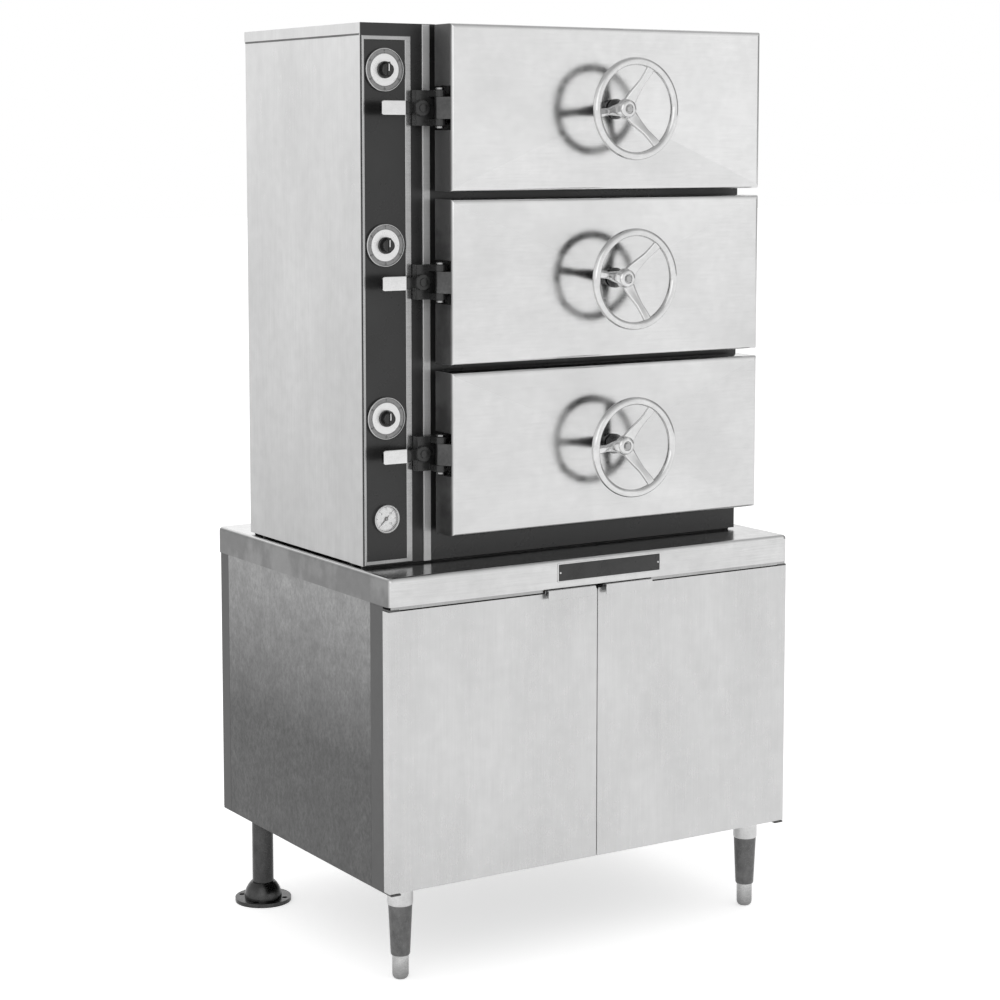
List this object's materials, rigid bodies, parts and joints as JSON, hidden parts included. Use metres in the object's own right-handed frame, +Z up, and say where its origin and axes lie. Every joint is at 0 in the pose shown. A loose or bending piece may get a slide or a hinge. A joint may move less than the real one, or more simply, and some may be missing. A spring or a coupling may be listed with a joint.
{
  "type": "pressure steamer",
  "caption": "Cabinet-base pressure steamer with stacked side-hinged steam compartments, hand-wheel door locks, a control column and a boiler in the base.",
  "frame": {"origin": "on the floor under the middle of the space the object takes up", "axes": "+Z up, -Y towards the front with the doors and hand wheels, +X to the right seen from the front"},
  "size_m": [0.938, 0.752, 1.757],
  "materials": {
    "door_steel": "satin sheet",
    "body_steel": "satin sheet",
    "worktop_steel": "satin",
    "base_door_steel": "satin",
    "side_sheet": "dull sheet",
    "rear_sheet": "dull sheet",
    "frame_steel": "satin",
    "chamber_steel": "satin",
    "arm_steel": "hot rolled",
    "lever_steel": "polished",
    "pin_steel": "turned",
    "pipe_steel": "drawn pipe",
    "bright_trim": "polished strip",
    "wheel_chrome": "bright plated",
    "gauge_chrome": "plated",
    "dial_aluminium": "satin",
    "black_enamel": "semi-gloss",
    "bracket_enamel": "satin",
    "leg_enamel": "gloss",
    "boiler_iron": "dark coating",
    "valve_brass": "as cast",
    "gasket_rubber": "moulded",
    "knob_plastic": "moulded",
    "needle_black": "matt"
  },
  "bodies": {
    "cabinet": {"base_frame": "frame_steel", "base_side_panels": "side_sheet", "base_back_panel": "rear_sheet", "worktop": "worktop_steel", "front_legs": "leg_enamel", "bullet_feet": "leg_enamel", "rear_legs": "leg_enamel", "plinth_bearers": "frame_steel", "upper_side_panels": "body_steel", "upper_rear_cover": "rear_sheet", "upper_top": "body_steel", "front_fascia": "black_enamel", "control_panel": "black_enamel", "panel_trim": "bright_trim", "hinge_post": "bright_trim", "chamber_lower": "chamber_steel", "chamber_middle": "chamber_steel", "chamber_upper": "chamber_steel", "pan_racks": "chamber_steel", "hinge_brackets": "bracket_enamel", "hinge_pins": "pin_steel", "latch_keepers": "bracket_enamel", "timer_bodies": "dial_aluminium", "valve_bodies": "valve_brass", "gauge_case": "gauge_chrome", "steam_riser": "pipe_steel", "drain_manifold": "pipe_steel", "boiler": "boiler_iron", "safety_valve": "valve_brass"},
    "door_lower": {"door_cover_lower": "door_steel", "door_arm_lower": "arm_steel"},
    "wheel_lower": {"handwheel_lower": "wheel_chrome", "spindle_lower": "pin_steel"},
    "plate_lower": {"pressure_plate_lower": "chamber_steel", "gasket_lower": "gasket_rubber"},
    "bolt_lower": {"latch_bolt_lower": "pin_steel"},
    "knob_lower": {"timer_knob_lower": "knob_plastic"},
    "lever_lower": {"steam_lever_lower": "lever_steel"},
    "door_middle": {"door_cover_middle": "door_steel", "door_arm_middle": "arm_steel"},
    "wheel_middle": {"handwheel_middle": "wheel_chrome", "spindle_middle": "pin_steel"},
    "plate_middle": {"pressure_plate_middle": "chamber_steel", "gasket_middle": "gasket_rubber"},
    "bolt_middle": {"latch_bolt_middle": "pin_steel"},
    "knob_middle": {"timer_knob_middle": "knob_plastic"},
    "lever_middle": {"steam_lever_middle": "lever_steel"},
    "door_upper": {"door_cover_upper": "door_steel", "door_arm_upper": "arm_steel"},
    "wheel_upper": {"handwheel_upper": "wheel_chrome", "spindle_upper": "pin_steel"},
    "plate_upper": {"pressure_plate_upper": "chamber_steel", "gasket_upper": "gasket_rubber"},
    "bolt_upper": {"latch_bolt_upper": "pin_steel"},
    "knob_upper": {"timer_knob_upper": "knob_plastic"},
    "lever_upper": {"steam_lever_upper": "lever_steel"},
    "base_door_left": {"base_door_left": "base_door_steel"},
    "base_door_right": {"base_door_right": "base_door_steel"},
    "gauge_needle": {"gauge_needle": "needle_black"},
    "safety_lever": {"safety_lever": "valve_brass"}
  },
  "joints": [
    {"name": "door_lower_swing", "type": "hinge", "parent": "cabinet", "child": "door_lower", "pos_m": [-0.307, -0.261, 0.973], "axis": [0, 0, 1], "range_deg": [-110, 0]},
    {"name": "wheel_lower_spin", "type": "hinge", "parent": "door_lower", "child": "wheel_lower", "pos_m": [0.052, -0.3, 0.973], "axis": [0, 1, 0], "range_deg": [0, 540]},
    {"name": "plate_lower_slide", "type": "slide", "parent": "door_lower", "child": "plate_lower", "axis": [0, 1, 0], "range_m": [0, 0.006]},
    {"name": "bolt_lower_slide", "type": "slide", "parent": "door_lower", "child": "bolt_lower", "axis": [1, 0, 0], "range_m": [0, 0.014]},
    {"name": "timer_lower_turn", "type": "hinge", "parent": "cabinet", "child": "knob_lower", "pos_m": [-0.3995, -0.227, 1.041], "axis": [0, 1, 0], "range_deg": [0, 330]},
    {"name": "lever_lower_turn", "type": "hinge", "parent": "cabinet", "child": "lever_lower", "pos_m": [-0.3327, -0.242, 0.973], "axis": [0, -1, 0], "range_deg": [0, 90]},
    {"name": "door_middle_swing", "type": "hinge", "parent": "cabinet", "child": "door_middle", "pos_m": [-0.307, -0.261, 1.289], "axis": [0, 0, 1], "range_deg": [-110, 0]},
    {"name": "wheel_middle_spin", "type": "hinge", "parent": "door_middle", "child": "wheel_middle", "pos_m": [0.052, -0.3, 1.289], "axis": [0, 1, 0], "range_deg": [0, 540]},
    {"name": "plate_middle_slide", "type": "slide", "parent": "door_middle", "child": "plate_middle", "axis": [0, 1, 0], "range_m": [0, 0.006]},
    {"name": "bolt_middle_slide", "type": "slide", "parent": "door_middle", "child": "bolt_middle", "axis": [1, 0, 0], "range_m": [0, 0.014]},
    {"name": "timer_middle_turn", "type": "hinge", "parent": "cabinet", "child": "knob_middle", "pos_m": [-0.3995, -0.227, 1.357], "axis": [0, 1, 0], "range_deg": [0, 330]},
    {"name": "lever_middle_turn", "type": "hinge", "parent": "cabinet", "child": "lever_middle", "pos_m": [-0.3327, -0.242, 1.289], "axis": [0, -1, 0], "range_deg": [0, 90]},
    {"name": "door_upper_swing", "type": "hinge", "parent": "cabinet", "child": "door_upper", "pos_m": [-0.307, -0.261, 1.605], "axis": [0, 0, 1], "range_deg": [-110, 0]},
    {"name": "wheel_upper_spin", "type": "hinge", "parent": "door_upper", "child": "wheel_upper", "pos_m": [0.052, -0.3, 1.605], "axis": [0, 1, 0], "range_deg": [0, 540]},
    {"name": "plate_upper_slide", "type": "slide", "parent": "door_upper", "child": "plate_upper", "axis": [0, 1, 0], "range_m": [0, 0.006]},
    {"name": "bolt_upper_slide", "type": "slide", "parent": "door_upper", "child": "bolt_upper", "axis": [1, 0, 0], "range_m": [0, 0.014]},
    {"name": "timer_upper_turn", "type": "hinge", "parent": "cabinet", "child": "knob_upper", "pos_m": [-0.3995, -0.227, 1.673], "axis": [0, 1, 0], "range_deg": [0, 330]},
    {"name": "lever_upper_turn", "type": "hinge", "parent": "cabinet", "child": "lever_upper", "pos_m": [-0.3327, -0.242, 1.605], "axis": [0, -1, 0], "range_deg": [0, 90]},
    {"name": "base_door_left_swing", "type": "hinge", "parent": "cabinet", "child": "base_door_left", "pos_m": [-0.446, -0.3193, 0.44], "axis": [0, 0, 1], "range_deg": [-110, 0]},
    {"name": "base_door_right_swing", "type": "hinge", "parent": "cabinet", "child": "base_door_right", "pos_m": [0.446, -0.3193, 0.44], "axis": [0, 0, 1], "range_deg": [0, 110]},
    {"name": "gauge_needle_turn", "type": "hinge", "parent": "cabinet", "child": "gauge_needle", "pos_m": [-0.3995, -0.22, 0.855], "axis": [0, 1, 0], "range_deg": [0, 270], "stiffness_Nm_per_rad": 0.0005},
    {"name": "safety_lever_lift", "type": "hinge", "parent": "cabinet", "child": "safety_lever", "pos_m": [0.136, 0.07, 0.647], "axis": [0, -1, 0], "range_deg": [0, 30]}
  ],
  "couplings": [
    {"joint": "plate_lower_slide", "follows": "wheel_lower_spin", "m_per_rad": 0.0006366},
    {"joint": "bolt_lower_slide", "follows": "wheel_lower_spin", "m_per_rad": 0.0014854},
    {"joint": "plate_middle_slide", "follows": "wheel_middle_spin", "m_per_rad": 0.0006366},
    {"joint": "bolt_middle_slide", "follows": "wheel_middle_spin", "m_per_rad": 0.0014854},
    {"joint": "plate_upper_slide", "follows": "wheel_upper_spin", "m_per_rad": 0.0006366},
    {"joint": "bolt_upper_slide", "follows": "wheel_upper_spin", "m_per_rad": 0.0014854}
  ]
}
